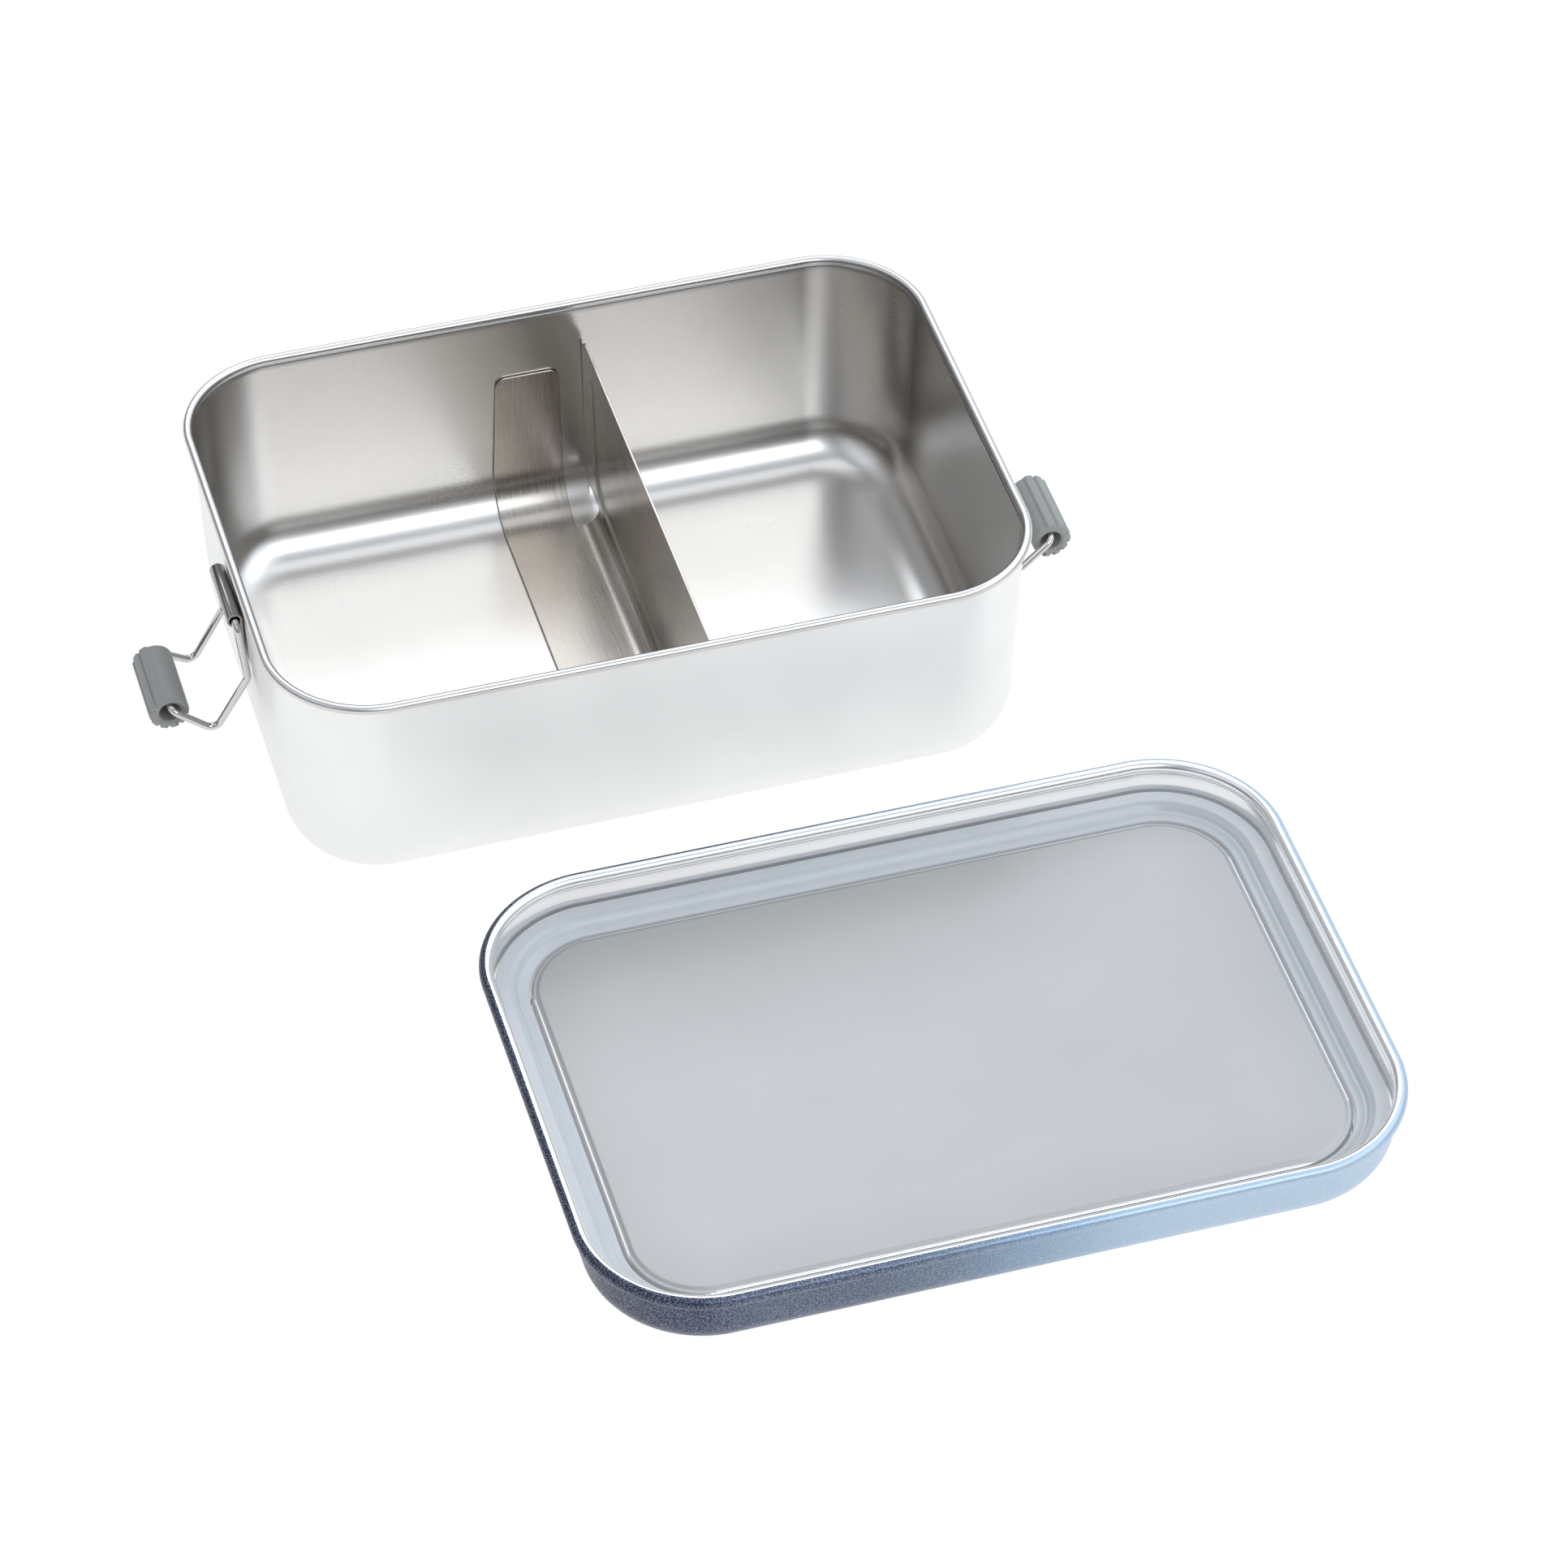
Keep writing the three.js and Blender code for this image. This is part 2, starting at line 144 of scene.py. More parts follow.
class Recipe:
    """The node tree of one material, or of the world."""

    def __init__(self, owner: bpy.types.Material | bpy.types.World) -> None:
        """Clears the owner's node tree.

        Args:
            owner: The material or world.
        """
        self.owner = owner
        self.owner.use_nodes = True
        self.tree = self.owner.node_tree
        self.tree.nodes.clear()

    @classmethod
    def named(cls, name: str) -> "Recipe":
        """Starts a new material.

        Args:
            name: The material's name.

        Returns:
            The material's recipe.
        """
        return cls(bpy.data.materials.new(name))

    def node(
        self,
        kind: str,
        settings: Mapping[str, object] | None = None,
        sockets: Mapping[str | int, object] | None = None,
        output: str | int = 0,
    ) -> Value:
        """Adds a node.

        Args:
            kind: The node's type.
            settings: Its own settings, set first; stops are a ramp's positions and colours.
            sockets: Numbers, colours or Values for its inputs, by name or place.
            output: The output that is returned.

        Returns:
            The chosen output.
        """
        made = self.tree.nodes.new(kind)
        for name, setting in (settings or {}).items():
            if name == "stops":
                self._set_stops(made.color_ramp, setting)
            else:
                setattr(made, name, setting)
        for name, value in (sockets or {}).items():
            if isinstance(value, Value):
                self.tree.links.new(value.socket, made.inputs[name])
            else:
                made.inputs[name].default_value = value
        return Value(self, made.outputs[output])

    @staticmethod
    def _set_stops(ramp: bpy.types.ColorRamp, stops: Sequence[tuple[float, Colour]]) -> None:
        """Gives a ramp its stops.

        Args:
            ramp: The ramp.
            stops: Each stop's position and colour.
        """
        while len(ramp.elements) < len(stops):
            ramp.elements.new(0.5)
        for element, (position, colour) in zip(ramp.elements, stops, strict=True):
            element.position = position
            element.color = (*colour, 1)

    def place(self) -> Value:
        """Returns the point on the piece, in metres."""
        return self.node("ShaderNodeTexCoord", output="Object")

    def parts(self, vector: Value) -> tuple[Value, Value, Value]:
        """Splits a vector into its three parts."""
        split = self.node("ShaderNodeSeparateXYZ", sockets={0: vector})
        node = split.socket.node
        return split, Value(self, node.outputs[1]), Value(self, node.outputs[2])

    def noise(self, stretch: Sequence[float], detail: float = 2.0) -> Value:
        """Makes a noise pattern.

        Args:
            stretch: How many cells there are to a metre along X, Y and Z.
            detail: How many finer layers it has.

        Returns:
            The pattern, about 0.5 on average.
        """
        spot = self.node("ShaderNodeMapping", sockets={"Vector": self.place(), "Scale": stretch})
        return self.node(
            "ShaderNodeTexNoise", sockets={"Vector": spot, "Scale": 1.0, "Detail": detail}
        )

    def blend(self, mask: Value, low: object, high: object) -> Value:
        """Mixes two colours.

        Args:
            mask: 0 for the first and 1 for the second.
            low: The first colour.
            high: The second colour.

        Returns:
            The mixed colour.
        """
        low = low if isinstance(low, Value) else (*low, 1)
        high = high if isinstance(high, Value) else (*high, 1)
        return self.node(
            "ShaderNodeMix", {"data_type": "RGBA"}, {0: mask, 6: low, 7: high}, output=2
        )

    def bump(self, height: Value, depth: float) -> Value:
        """Turns a height into a normal.

        Args:
            height: The height, from 0 to 1.
            depth: What a height of 1 stands for, in metres.

        Returns:
            The bumped normal.
        """
        return self.node(
            "ShaderNodeBump", sockets={"Strength": 1.0, "Distance": depth, "Height": height}
        )

    def finish(self, **sockets: object) -> bpy.types.Material:
        """Closes the material with a Principled shader.

        Args:
            **sockets: The shader's inputs, with _ for each space in their names.

        Returns:
            The finished material.
        """
        named = {name.replace("_", " "): value for name, value in sockets.items()}
        shader = self.node("ShaderNodeBsdfPrincipled", sockets=named)
        end = self.tree.nodes.new("ShaderNodeOutputMaterial")
        self.tree.links.new(shader.socket, end.inputs["Surface"])
        return self.owner

    def light_up(self, colour: Value) -> None:
        """Closes the world with a background of a colour.

        Args:
            colour: The colour, by direction.
        """
        background = self.node("ShaderNodeBackground", sockets={0: colour})
        end = self.tree.nodes.new("ShaderNodeOutputWorld")
        self.tree.links.new(background.socket, end.inputs["Surface"])


# ---------------------------------------------------------------- finishes


class Grain(Enum):
    """The way that a steel's grinding lines run, as noise cells to a metre along X, Y and Z."""

    SATIN = (2600.0, 2600.0, 2600.0)
    ALONG_X = (90.0, 3400.0, 3400.0)
    ALONG_Y = (3400.0, 90.0, 3400.0)
    ROLLED = (3000.0, 70.0, 70.0)
    DRAWN = (500.0, 500.0, 2600.0)


@dataclass(frozen=True)
class Steel:
    """Stainless steel, from satin to polished."""

    name: str
    colour: Colour
    roughness: float
    grain: Grain
    grain_depth: float = 0.0004 * MM
    grain_gloss: float = 0.08
    streak: float = 0.0
    metal: float = 1.0
    cloud_gloss: float = 0.04
    cloud_size: float = 22 * MM
    worn: float = 0.9
    worn_by_streak: float = 0.3

    def make(self) -> bpy.types.Material:
        """Returns the material."""
        recipe = Recipe.named(self.name)
        lines = recipe.noise(self.grain.value, detail=3.0)
        cloud = recipe.noise([1 / self.cloud_size] * 3, detail=1.0)
        gloss = self.roughness + (lines - 0.5) * self.grain_gloss + (cloud - 0.5) * self.cloud_gloss
        shade = cloud + (lines - 0.5) * self.streak
        shine = self.worn - self.worn_by_streak * self.streak
        worn = tuple(shine * part for part in self.colour)
        return recipe.finish(
            Base_Color=recipe.blend(shade.at_least(0.0).at_most(1.0), worn, self.colour),
            Metallic=self.metal,
            Roughness=gloss,
            Normal=recipe.bump(lines, self.grain_depth),
        )


@dataclass(frozen=True)
class OmbrePaint:
    """Metallic paint that goes from navy to pale blue along the lid, with a fine flake and painted
    glints.
    """

    name: str
    left: float
    right: float
    stops: tuple[tuple[float, Colour], ...]
    drift_cells: float = 60.0
    drift: float = 0.03
    flake_size: float = 0.28 * MM
    # The next three set the painted glints: pale flecks of light mixed into the paint's colour.
    flake_colour: Colour = (0.78, 0.86, 0.95)
    flake_gain: float = 3.0
    flake_most: float = 0.22
    flake_gloss: float = 0.25
    flake_depth: float = 0.004 * MM
    metal: float = 0.72
    roughness: float = 0.40
    coat: float = 0.12
    coat_roughness: float = 0.12

    def make(self) -> bpy.types.Material:
        """Returns the material."""
        recipe = Recipe.named(self.name)
        across, _, _ = recipe.parts(recipe.place())
        share = (across - self.left) * (1 / (self.right - self.left))
        cloud = recipe.noise([self.drift_cells] * 3, detail=2.0)
        shade = recipe.node(
            "ShaderNodeValToRGB", {"stops": self.stops}, {0: share + (cloud - 0.5) * self.drift}
        )
        flake = recipe.noise([1 / self.flake_size] * 3, detail=1.0)
        # Pale flecks in the base colour are painted glints, sparkle painted into the colour; the
        # flake's gloss and bump are real.
        glint = ((flake - 0.5) * self.flake_gain).at_least(0.0).at_most(self.flake_most)
        return recipe.finish(
            Base_Color=recipe.blend(glint, shade, self.flake_colour),
            Metallic=self.metal,
            Roughness=self.roughness + (flake - 0.5) * self.flake_gloss,
            Coat_Weight=self.coat,
            Coat_Roughness=self.coat_roughness,
            Normal=recipe.bump(flake, self.flake_depth),
        )


@dataclass(frozen=True)
class Silicone:
    """Moulded silicone rubber, matt or slightly see-through."""

    name: str
    colour: Colour
    shadow: Colour
    roughness: float
    glow: float = 0.0
    gloss: float = 0.35
    glow_reach: float = 1.5 * MM
    cloud_cells: float = 140.0
    skin_cells: float = 4200.0
    skin_gloss: float = 0.12
    skin_depth: float = 0.01 * MM

    def make(self) -> bpy.types.Material:
        """Returns the material."""
        recipe = Recipe.named(self.name)
        cloud = recipe.noise([self.cloud_cells] * 3, detail=3.0)
        skin = recipe.noise([self.skin_cells] * 3, detail=1.0)
        return recipe.finish(
            Base_Color=recipe.blend(cloud, self.shadow, self.colour),
            Roughness=self.roughness + (skin - 0.5) * self.skin_gloss,
            Subsurface_Weight=self.glow,
            Subsurface_Scale=self.glow_reach,
            Specular_IOR_Level=self.gloss,
            Normal=recipe.bump(skin, self.skin_depth),
        )


@dataclass(frozen=True)
class StudioFloor:
    """A plain pale floor that stays even under the object."""

    name: str = "studio_floor"
    colour: Colour = (0.20, 0.20, 0.20)
    roughness: float = 0.9
    light: float = 0.90

    def make(self) -> bpy.types.Material:
        """Returns the material."""
        return Recipe.named(self.name).finish(
            Base_Color=(*self.colour, 1),
            Roughness=self.roughness,
            Specular_IOR_Level=0.0,
            Emission_Color=(1, 1, 1, 1),
            Emission_Strength=self.light,
        )


BOX_STEEL = Steel(
    "box_satin_steel", (0.69, 0.67, 0.645), 0.26, Grain.DRAWN, 0.0001 * MM, grain_gloss=0.04
)
OUTSIDE_STEEL = Steel("box_outside_steel", (0.88, 0.88, 0.87), 0.44, Grain.DRAWN)
# The divider's darker base colour is painted shade for the dark surroundings its brushed sheet
# reflects; its grain and streaks are real.
DIVIDER_STEEL_WITH_PAINTED_SHADE = Steel(
    "divider_brushed_steel", (0.61, 0.565, 0.515), 0.24, Grain.ROLLED, 0.0006 * MM, 0.20, streak=0.9
)
LID_STEEL = Steel("lid_bare_steel", (0.84, 0.835, 0.84), 0.20, Grain.SATIN, 0.0002 * MM, 0.05)
PANEL_STEEL = Steel(
    "lid_panel_steel", (0.46, 0.456, 0.446), 0.45, Grain.ALONG_X, 0.0003 * MM, metal=0.7
)
BRACKET_STEEL = Steel("bracket_steel", (0.32, 0.30, 0.28), 0.16, Grain.ALONG_Y, 0.0008 * MM)
WIRE_STEEL = Steel("wire_steel", (0.64, 0.62, 0.60), 0.12, Grain.SATIN, 0.0002 * MM, 0.05)
SEAL_RUBBER = Silicone("seal_silicone", (0.50, 0.52, 0.53), (0.46, 0.485, 0.50), 0.22, 0.3, 0.6)
GRIP_RUBBER = Silicone("grip_silicone", (0.32, 0.32, 0.308), (0.285, 0.285, 0.275), 0.55)
OMBRE_STOPS = (
    (0.0, (0.014, 0.017, 0.045)),
    (0.12, (0.026, 0.035, 0.085)),
    (0.18, (0.066, 0.083, 0.138)),
    (0.31, (0.07, 0.09, 0.15)),
    (0.40, (0.115, 0.16, 0.225)),
    (0.50, (0.22, 0.31, 0.43)),
    (0.63, (0.37, 0.49, 0.61)),
    (0.70, (0.41, 0.52, 0.64)),
    (1.0, (0.43, 0.54, 0.66)),
)


# ---------------------------------------------------------------- drawing and edit mode


@dataclass
class Section:
    """A cross-section drawn from point to point: how far in from an outline, and how high."""

    points: list[Point] = field(default_factory=list)

    def to(self, *points: Point) -> "Section":
        """Carries the section on in straight lines.

        Args:
            *points: The next points.

        Returns:
            The section itself.
        """
        self.points.extend(points)
        return self

    def arc(self, centre: Point, radius: float, start: float, end: float, steps: int) -> "Section":
        """Carries the section on round an arc.

        Args:
            centre: The arc's centre.
            radius: Its radius.
            start: The angle that it starts at, in degrees from the first axis to the second.
            end: The angle that it ends at, in degrees.
            steps: How many straight pieces it has.

        Returns:
            The section itself.
        """
        for i in range(steps + 1):
            angle = math.radians(start + (end - start) * i / steps)
            point = (centre[0] + radius * math.cos(angle), centre[1] + radius * math.sin(angle))
            self.points.append(point)
        return self


@dataclass(frozen=True)
class Rim:
    """A rounded rectangle seen from above, which sections are carried round."""

    length: float
    width: float
    corner: float
    centre: Vector

    @classmethod
    def of(cls, node: str, corner: float) -> "Rim":
        """Reads a rim from a node's box.

        Args:
            node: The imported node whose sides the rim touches.
            corner: The radius of its corners.

        Returns:
            The rim, at the height of the node's lowest point.
        """
        low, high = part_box(node)
        middle = Vector(((low.x + high.x) / 2, (low.y + high.y) / 2, low.z))
        return cls(high.x - low.x, high.y - low.y, corner, middle)


class Bench:
    """A piece on the workbench, shaped in edit mode."""

    ROUND_STEPS = 96
    WELD = 0.002 * MM

    def __init__(self, name: str) -> None:
        """Starts an empty piece and enters edit mode.

        Args:
            name: The piece's name.
        """
        bpy.ops.object.select_all(action="DESELECT")
        bpy.ops.mesh.primitive_plane_add(size=MM, location=(0, 0, 0))
        self.piece = bpy.context.active_object
        self.piece.name = name
        self.piece.data.name = name
        bpy.ops.object.mode_set(mode="EDIT")
        bpy.ops.mesh.select_mode(type="VERT")
        bpy.ops.mesh.delete(type="VERT")

    def trace(self, points: Sequence[Vector]) -> None:
        """Draws a line of edges, which stays selected at its last point.

        Args:
            points: The line's points.
        """
        bpy.ops.mesh.select_all(action="DESELECT")
        bpy.ops.mesh.primitive_plane_add(size=MM, location=points[0])
        bpy.ops.mesh.merge(type="CENTER")
        for before, after in zip(points, points[1:]):
            bpy.ops.mesh.extrude_vertices_move(TRANSFORM_OT_translate={"value": after - before})

    def loop(self, points: Sequence[Vector]) -> None:
        """Draws a closed line of edges and selects it.

        Args:
            points: The line's points, without the first one again.
        """
        self.trace([*points, points[0]])
        bpy.ops.mesh.select_linked()
        bpy.ops.mesh.remove_doubles(threshold=self.WELD)

    def pick(self, wanted: Callable[[Vector], bool]) -> None:
        """Selects the points that pass a test, and what lies between them.

        Args:
            wanted: The test of a point's place.
        """
        mesh = bmesh.from_edit_mesh(self.piece.data)
        for vert in mesh.verts:
            vert.select_set(wanted(vert.co))
        mesh.select_flush_mode()
        bmesh.update_edit_mesh(self.piece.data)

    def pick_faces(self, wanted: Callable[[Vector, Vector], bool]) -> None:
        """Selects the faces that pass a test.

        Args:
            wanted: The test of a face's middle and normal.
        """
        bpy.ops.mesh.select_mode(type="FACE")
        mesh = bmesh.from_edit_mesh(self.piece.data)
        mesh.normal_update()
        for face in mesh.faces:
            face.select_set(wanted(face.calc_center_median(), face.normal))
        mesh.select_flush_mode()
        bmesh.update_edit_mesh(self.piece.data)

    def move(self, x: float = 0.0, y: float = 0.0, z: float = 0.0) -> None:
        """Moves what is selected."""
        bpy.ops.transform.translate(value=(x, y, z))

    def pull(self, step: Vector) -> None:
        """Extrudes the selected edges by a step."""
        bpy.ops.mesh.extrude_region_move(TRANSFORM_OT_translate={"value": step})

    def bend(self, centre: Vector, axis: Vector, angle: float, steps: int) -> None:
        """Sweeps the selected edges round an axis.

        Args:
            centre: A point on the axis.
            axis: The axis.
            angle: How far, in radians, right-handed.
            steps: How many rows of faces that makes.
        """
        bpy.ops.mesh.spin(steps=steps, angle=-angle, center=centre, axis=axis)

    def wrap(self, section: Sequence[Point], rim: Rim) -> None:
        """Carries a section once round a rim.

        Args:
            section: Its points, in from the rim and up from the rim's height.
            rim: The rim.
        """
        half = math.pi / self.ROUND_STEPS
        points = []
        for inset, up in section:
            out = rim.corner - inset
            points.append(Vector((out, out * math.tan(half), up)))
        self.trace(points)
        bpy.ops.mesh.select_all(action="SELECT")
        full = {"steps": self.ROUND_STEPS, "angle": 2 * math.pi, "use_auto_merge": True}
        bpy.ops.mesh.spin(center=(0, 0, 0), axis=(0, 0, 1), **full)
        bpy.ops.mesh.select_all(action="SELECT")
        bpy.ops.mesh.remove_doubles(threshold=self.WELD)
        along = rim.length / 2 - rim.corner
        across = rim.width / 2 - rim.corner
        for side in (1, -1):
            self.pick(lambda place, side=side: place.x * side > 0)
            self.move(x=side * along)
        for side in (1, -1):
            self.pick(lambda place, side=side: place.y * side > 0)
            self.move(y=side * across)
        bpy.ops.mesh.select_all(action="SELECT")
        self.move(*rim.centre)

    def close(self) -> None:
        """Fills every open edge loop."""
        bpy.ops.mesh.select_mode(type="EDGE")
        bpy.ops.mesh.select_all(action="SELECT")
        bpy.ops.mesh.fill_holes(sides=0)

    def tidy_normals(self) -> None:
        """Merges doubles and turns the faces of a closed body outwards."""
        bpy.ops.mesh.select_mode(type="VERT")
        bpy.ops.mesh.select_all(action="SELECT")
        bpy.ops.mesh.remove_doubles(threshold=self.WELD)
        bpy.ops.mesh.normals_make_consistent(inside=False)

    def face_right(self) -> None:
        """Turns the selected faces over if the piece's largest wall across X faces left."""
        mesh = bmesh.from_edit_mesh(self.piece.data)
        mesh.normal_update()
        wall = max(mesh.faces, key=lambda face: face.calc_area() * abs(face.normal.x))
        if wall.normal.x < 0:
            bpy.ops.mesh.flip_normals()

    def modify(self, kind: str, **settings: object) -> None:
        """Leaves edit mode and applies one modifier.

        Args:
            kind: The modifier's type.
            **settings: Its settings.
        """
        self.leave()
        modifier = self.piece.modifiers.new(kind.lower(), kind)
        for name, setting in settings.items():
            setattr(modifier, name, setting)
        bpy.ops.object.modifier_apply(modifier=modifier.name)

    def soften(self, width: float, segments: int = 2, angle: float = 35.0) -> None:
        """Rounds the sharp edges.

        Args:
            width: The size of the round.
            segments: How many faces it has.
            angle: The sharpest edge that stays as it is, in degrees.
        """
        self.modify(
            "BEVEL", width=width, segments=segments, limit_method="ANGLE",
            angle_limit=math.radians(angle), use_clamp_overlap=True,
        )

    def leave(self) -> None:
        """Leaves edit mode."""
        if bpy.context.mode != "OBJECT":
            bpy.ops.object.mode_set(mode="OBJECT")

    def take(self, smooth: float = 35.0) -> bpy.types.Object:
        """Takes the piece off the bench, smoothly shaded.

        Args:
            smooth: The sharpest edge that is shaded smooth, in degrees.

        Returns:
            The piece.
        """
        self.leave()
        bpy.ops.object.shade_smooth_by_angle(angle=math.radians(smooth))
        return self.piece


def wear(piece: bpy.types.Object, *materials: bpy.types.Material) -> None:
    """Gives a piece its materials.

    Args:
        piece: The piece.
        *materials: Its materials, in the order of its faces' numbers.
    """
    for number, material in enumerate(materials):
        if number < len(piece.data.materials):
            piece.data.materials[number] = material
        else:
            piece.data.materials.append(material)


def settle(piece: bpy.types.Object, body: str, node: str) -> None:
    """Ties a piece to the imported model.

    Args:
        piece: The piece.
        body: The body that it moves with.
        node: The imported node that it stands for.
    """
    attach(piece, body)
    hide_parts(node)
    log.info("%s: %d faces, on %s", piece.name, len(piece.data.polygons), body)


def body_of(node: str) -> str:
    """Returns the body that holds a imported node."""
    bodies = frame["record"]["behaviour"]["bodies"]
    return next(body for body, nodes in bodies.items() if node in nodes)


# ---------------------------------------------------------------- the box


@dataclass
class LunchBox:
    """The deep-drawn box with a rolled rim."""

    corner: float = 25.3 * MM
    sheet: float = 0.6 * MM
    bead: float = 1.1 * MM
    overhang: float = 1.7 * MM
    lean: float = 1.9 * MM
    base_edge: float = 12.6 * MM
    lap: float = 0.05 * MM
    ledge: float = 0.12 * MM
    centre_hole: float = 0.5 * MM
    faces_side: float = 0.02
    faces_down: float = -0.5

    def build(self) -> bpy.types.Object:
        """Makes the box as one closed sheet.

        Returns:
            The piece.
        """
        rim = Rim.of("box_body", self.corner)
        low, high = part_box("box_body")
        height = high.z - low.z
        bead_up = height - self.bead
        foot = self.overhang + self.lean
        lean_angle = math.degrees(math.atan2(self.lean, height))
        tuck = math.degrees(math.acos((self.overhang - self.bead) / self.bead))
        inner_edge = self.base_edge - self.sheet
        round_in = foot + self.base_edge
        section = Section()
        section.to((rim.corner - self.centre_hole, 0.0))
        section.arc((round_in, self.base_edge), self.base_edge, 270, 180 + lean_angle, 14)
        section.to((self.overhang + self.lap, bead_up - 1.6 * self.bead))
        section.arc((self.bead, bead_up), self.bead, -tuck, -180, 9)
        section.arc((self.bead, bead_up), self.bead, 180, -30, 22)
        wall = self.overhang + self.sheet
        section.to((wall - self.ledge / 2, bead_up - 0.75 * self.bead))
        section.to((wall + self.ledge / 3, bead_up - 1.1 * self.bead))
        section.to((wall + self.ledge / 3, bead_up - 2 * self.bead))
        section.arc((round_in, self.base_edge), inner_edge, 180 + lean_angle, 270, 14)
        section.to((rim.corner - self.centre_hole, self.sheet))
        bench = Bench("lunch_box_body")
        bench.wrap(section.points, rim)
        bench.close()
        bench.tidy_normals()
        return bench.take(40)

    def dress(self) -> bpy.types.Object:
        """Builds the box and gives it its steel.

        Returns:
            The piece.
        """
        piece = self.build()
        wear(piece, BOX_STEEL.make(), OUTSIDE_STEEL.make())
        rim = Rim.of("box_body", self.corner)
        under_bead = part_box("box_body")[1].z - 2 * self.bead
        for face in piece.data.polygons:
            place = face.center - rim.centre
            outwards = face.normal.x * place.x / rim.length + face.normal.y * place.y / rim.width
            outside = outwards > self.faces_side or face.normal.z < self.faces_down
            face.material_index = int(outside and place.z < under_bead)
        settle(piece, body_of("box_body"), "box_body")
        return piece


# ---------------------------------------------------------------- the lid


class Skin(IntEnum):
    """What covers a face of the lid, as the number of its material."""

    PAINT = 0
    STEEL = 1
    PANEL = 2


@dataclass
class Lid:
    """The pressed lid, upside down, with its seal."""

    corner: float = 28.8 * MM
    sheet: float = 0.6 * MM
    bead: float = 1.6 * MM
    overhang: float = 2.2 * MM
    edge: float = 7.5 * MM
    channel: float = 11.5 * MM
    panel: float = 8.0 * MM
    step_down: float = 0.55 * MM
    step_width: float = 0.5 * MM
    small_round: float = 0.6 * MM
    centre_hole: float = 0.5 * MM
    paint_edge: float = 94.0
    lap: float = 0.02 * MM
    slope_lead: float = 0.2 * MM
    slope_run: float = 0.5 * MM
    slope_ease: float = 0.08 * MM
    slope_tail: float = 0.3 * MM
    seal_gap: float = 0.6 * MM
    seal_round: float = 0.35 * MM
    lip_width: float = 3.4 * MM
    lip_height: float = 9.6 * MM
    inner_height: float = 7.4 * MM
    inner_flat: float = 1.7 * MM
    inner_fall: float = 0.3 * MM
    groove_shares: tuple[float, ...] = (0.3, 0.68)
    groove: tuple[Point, ...] = (
        (0.15 * MM, -0.06 * MM), (0.0, -0.08 * MM), (-0.12 * MM, 0.03 * MM)
    )

    def skirt_top(self) -> float:
        """Returns the height of the bead's middle."""
        low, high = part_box("lid_shell")
        return high.z - low.z - self.bead

    def painted_side(self) -> list[Point]:
        """Draws the outside, from the middle of the top out to the paint's edge on the bead.

        Returns:
            The section's points.
        """
        soft = self.small_round
        recess = self.channel + self.sheet
        under = self.panel - self.sheet
        top = self.skirt_top()
        tuck = math.degrees(math.acos((self.overhang - self.bead) / self.bead))
        section = Section()
        section.to((self.corner - self.centre_hole, under))
        step = recess + self.step_width + soft
        section.to((step + soft, under), (step, under - self.step_down))
        section.arc((recess + soft, under - self.step_down - soft), soft, 90, 180, 4)
        section.arc((recess - soft, soft), soft, 0, -90, 4)
        section.arc((self.overhang + self.edge, self.edge), self.edge, 270, 180, 10)
        section.arc((self.bead, top), self.bead, -tuck, -180, 10)
        section.arc((self.bead, top), self.bead, 180, self.paint_edge, 7)
        return section.points

    def bare_side(self) -> list[Point]:
        """Draws the inside, from the paint's edge on the bead to the middle of the panel.

        Returns:
            The section's points.
        """
        soft = self.small_round
        inner = self.edge - self.sheet
        top = self.skirt_top()
        wall = self.overhang + self.sheet
        ledge_in = self.channel + self.step_width + soft
        section = Section()
        section.arc((self.bead, top), self.bead, self.paint_edge, -48, 16)
        section.to((wall + self.lap, top - 0.86 * self.bead))
        section.arc((self.overhang + self.edge, self.edge), inner, 180, 270, 10)
        section.arc((self.channel - soft, self.sheet + soft), soft, -90, 0, 4)
        ledge = self.panel - self.step_down
        section.arc((self.channel + soft, ledge - soft), soft, 180, 90, 4)
        slope_end = ledge_in + self.slope_run
        section.to((ledge_in - self.slope_lead, ledge), (ledge_in, ledge + self.slope_ease))
        section.to((slope_end, self.panel - self.slope_ease))
        section.to((slope_end + self.slope_tail, self.panel))
        section.to((self.corner - self.centre_hole, self.panel))
        return section.points

    def build_shell(self) -> bpy.types.Object:
        """Makes the lid's sheet from its painted side and its bare side.

        Returns:
            The piece, whose faces are numbered as paint or steel.
        """
        rim = Rim.of("lid_shell", self.corner)
        blanks = [bpy.data.materials.new(f"lid_skin_{skin.value}") for skin in Skin]
        skins = []
        for skin, section in ((Skin.PAINT, self.painted_side()), (Skin.STEEL, self.bare_side())):
            bench = Bench(f"{skin.name.lower()}_skin")
            bench.wrap(section, rim)
            bench.leave()
            wear(bench.piece, *blanks)
            faces = bench.piece.data.polygons
            faces.foreach_set("material_index", [skin.value] * len(faces))
            skins.append(bench)
        outside, inside = skins
        outside.piece.select_set(True)
        inside.piece.select_set(True)
        bpy.context.view_layer.objects.active = outside.piece
        bpy.ops.object.join()
        outside.piece.name = "lid_sheet"
        outside.piece.data.name = "lid_sheet"
        bpy.ops.object.mode_set(mode="EDIT")
        outside.tidy_normals()
        outside.close()
        outside.tidy_normals()
        return outside.take(40)

